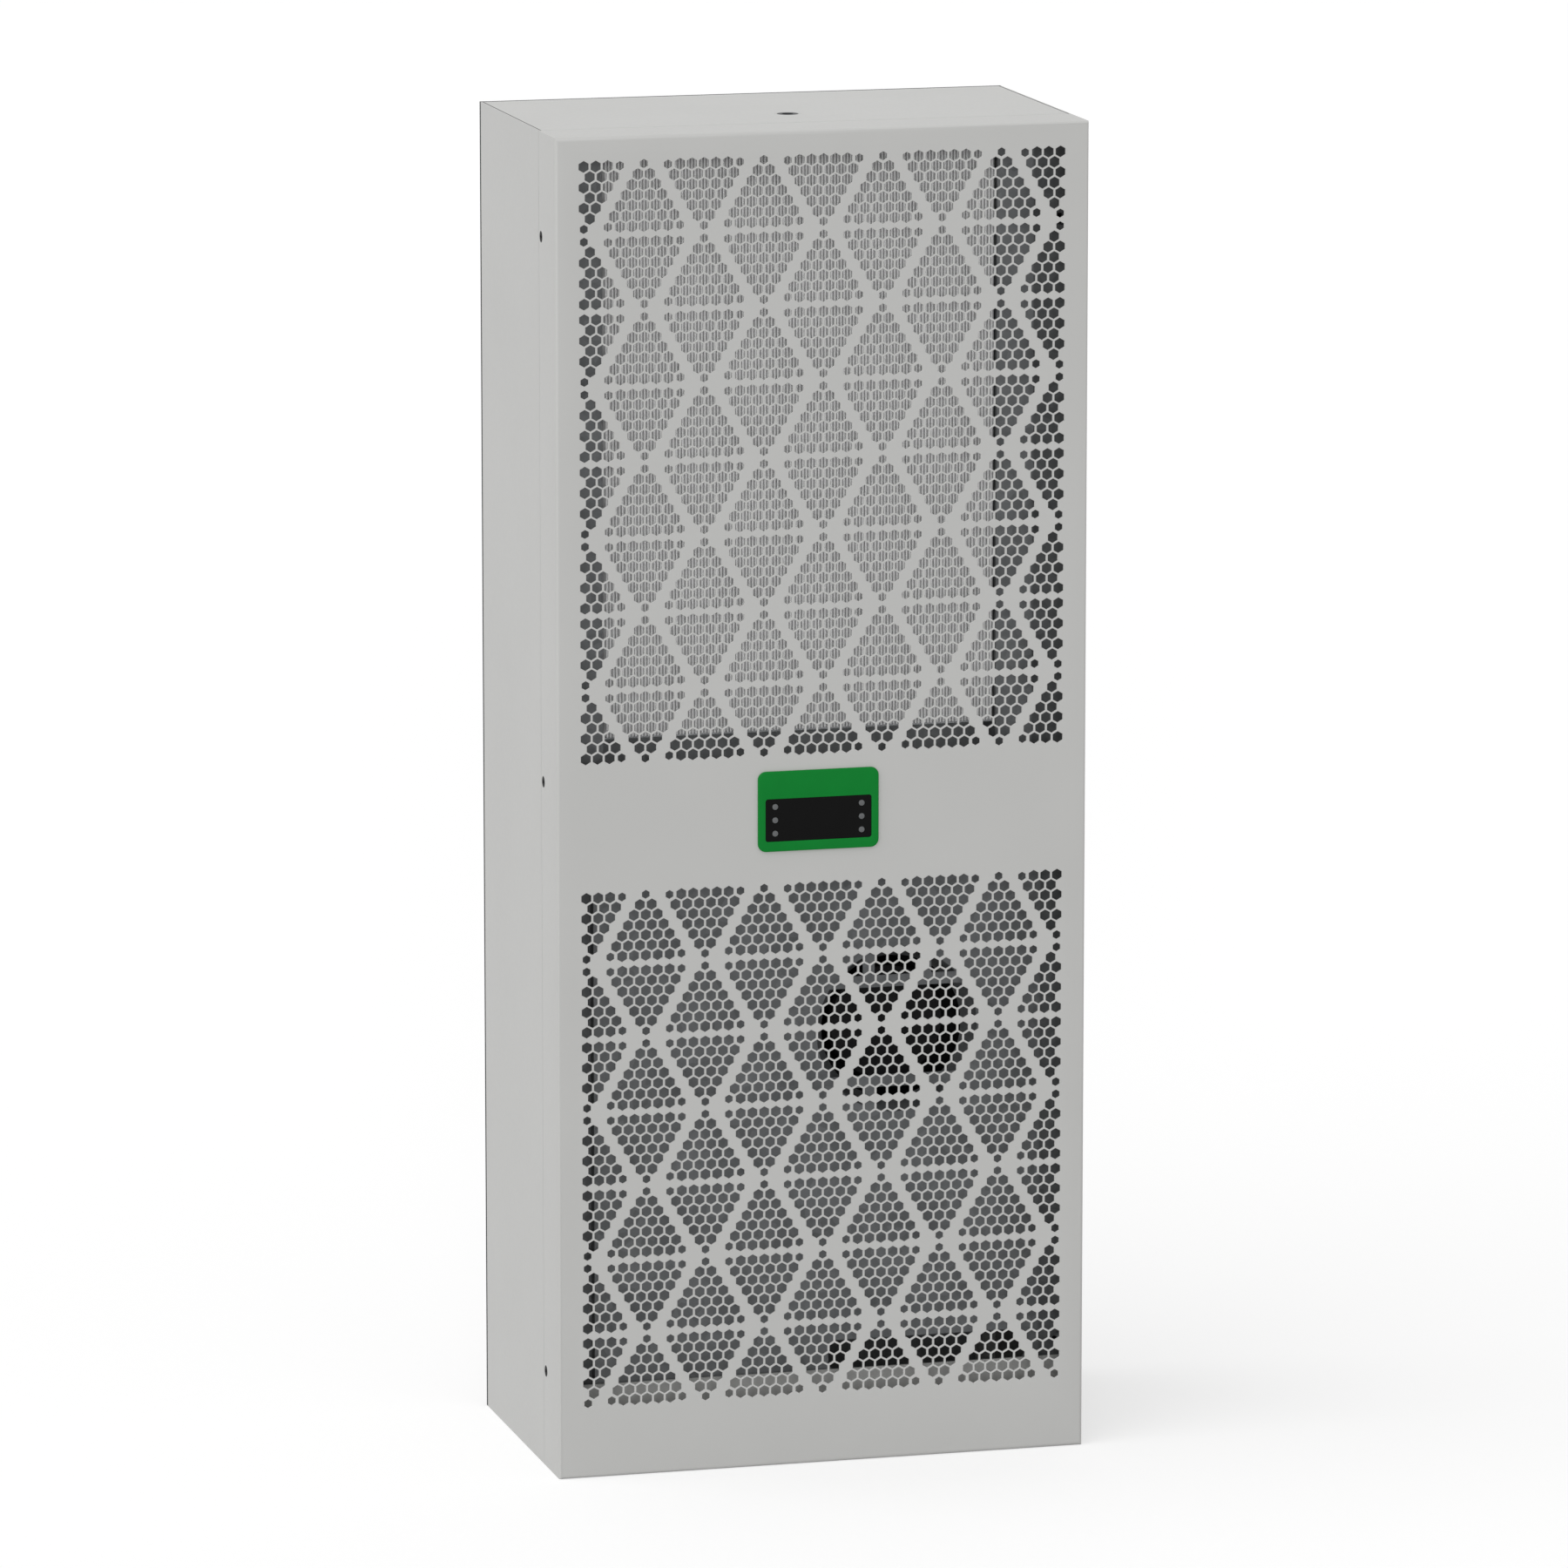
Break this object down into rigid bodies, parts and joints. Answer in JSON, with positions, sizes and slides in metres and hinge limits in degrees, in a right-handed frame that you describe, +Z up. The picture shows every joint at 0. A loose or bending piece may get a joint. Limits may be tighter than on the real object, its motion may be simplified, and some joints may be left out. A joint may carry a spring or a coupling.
{
  "type": "enclosure cooling unit",
  "caption": "Tall sheet-metal enclosure cooling unit with a pierced front cover, small controller panel, condenser, evaporator, radial fans and compressor inside.",
  "frame": {"origin": "middle of the footprint, on the underside of the case", "axes": "+Z up, the pierced front cover faces -Y, the gasket that meets the enclosure faces +Y, +X to the right of someone facing the cover"},
  "size_m": [0.404, 0.238, 1],
  "materials": {
    "cover_paint": "textured powder coat, light grey",
    "case_paint": "textured powder coat, light grey",
    "zinc_steel": "zinc plated",
    "black_zinc": "black zinc plating",
    "aluminium_sheet": "mill finish sheet",
    "gasket_foam": "closed-cell foam rubber",
    "black_rubber": "moulded rubber",
    "galvanised_sheet": "galvanised, spangled",
    "aluminium_fins": "mill finish fins",
    "copper_tube": "bare copper, lightly tarnished",
    "tray_plastic": "moulded plastic",
    "black_enamel": "black enamel",
    "black_plastic": "moulded plastic, fine grain",
    "inlet_plastic": "moulded plastic",
    "bezel_green": "moulded plastic, satin green",
    "display_glass": "smoked acrylic",
    "board_green": "solder mask",
    "key_grey": "moulded plastic, satin"
  },
  "bodies": {
    "case": {"accumulator": "black_enamel", "accumulator_strap": "zinc_steel", "bottom_panel": "case_paint", "capillary_tube": "copper_tube", "coil_shelf": "aluminium_sheet", "compressor_mounts": "black_rubber", "compressor_shell": "black_enamel", "compressor_studs": "zinc_steel", "condenser_bends": "copper_tube", "condenser_core": "aluminium_fins", "condenser_fan_bracket": "zinc_steel", "condenser_inlet_ring": "galvanised_sheet", "condenser_sheets": "galvanised_sheet", "condenser_stator": "black_plastic", "controller_back": "black_plastic", "controller_bezel": "bezel_green", "controller_board": "board_green", "controller_housing": "black_plastic", "cover_nuts": "zinc_steel", "cover_screws": "black_zinc", "discharge_pipe": "copper_tube", "display_window": "display_glass", "drain_pipe": "tray_plastic", "drip_tray": "tray_plastic", "electrical_box": "galvanised_sheet", "electrical_lid": "galvanised_sheet", "evaporator_baffle": "galvanised_sheet", "evaporator_bends": "copper_tube", "evaporator_core": "aluminium_fins", "evaporator_fan_bracket": "zinc_steel", "evaporator_inlet_ring": "galvanised_sheet", "evaporator_sheets": "galvanised_sheet", "evaporator_stator": "black_plastic", "fan_plate": "galvanised_sheet", "filter_drier": "copper_tube", "front_cover": "cover_paint", "left_side_panel": "case_paint", "lifting_insert": "zinc_steel", "liquid_pipe": "copper_tube", "mounting_inserts": "zinc_steel", "partition_wall": "galvanised_sheet", "power_inlet": "inlet_plastic", "rear_gasket": "gasket_foam", "rear_panel": "case_paint", "right_side_panel": "case_paint", "run_capacitor": "black_plastic", "shelf_grommets": "black_rubber", "suction_pipe": "copper_tube", "terminal_cover": "black_plastic", "top_panel": "case_paint"},
    "condenser_fan": {"condenser_impeller": "black_plastic", "condenser_rotor": "black_enamel"},
    "evaporator_fan": {"evaporator_impeller": "black_plastic", "evaporator_rotor": "black_enamel"},
    "key_left_bottom": {"key_left_bottom": "key_grey"},
    "key_left_middle": {"key_left_middle": "key_grey"},
    "key_left_top": {"key_left_top": "key_grey"},
    "key_right_bottom": {"key_right_bottom": "key_grey"},
    "key_right_middle": {"key_right_middle": "key_grey"},
    "key_right_top": {"key_right_top": "key_grey"}
  },
  "joints": [
    {"name": "condenser_fan_spin", "type": "hinge", "parent": "case", "child": "condenser_fan", "pos_m": [0.068, -0.02, 0.318], "axis": [0, 1, 0], "continuous": true},
    {"name": "evaporator_fan_spin", "type": "hinge", "parent": "case", "child": "evaporator_fan", "pos_m": [0, 0.06, 0.87], "axis": [0, -1, 0], "continuous": true},
    {"name": "key_left_bottom_press", "type": "slide", "parent": "case", "child": "key_left_bottom", "axis": [0, 1, 0], "range_m": [0, 0.0004], "stiffness_N_per_m": 2500},
    {"name": "key_left_middle_press", "type": "slide", "parent": "case", "child": "key_left_middle", "axis": [0, 1, 0], "range_m": [0, 0.0004], "stiffness_N_per_m": 2500},
    {"name": "key_left_top_press", "type": "slide", "parent": "case", "child": "key_left_top", "axis": [0, 1, 0], "range_m": [0, 0.0004], "stiffness_N_per_m": 2500},
    {"name": "key_right_bottom_press", "type": "slide", "parent": "case", "child": "key_right_bottom", "axis": [0, 1, 0], "range_m": [0, 0.0004], "stiffness_N_per_m": 2500},
    {"name": "key_right_middle_press", "type": "slide", "parent": "case", "child": "key_right_middle", "axis": [0, 1, 0], "range_m": [0, 0.0004], "stiffness_N_per_m": 2500},
    {"name": "key_right_top_press", "type": "slide", "parent": "case", "child": "key_right_top", "axis": [0, 1, 0], "range_m": [0, 0.0004], "stiffness_N_per_m": 2500}
  ]
}
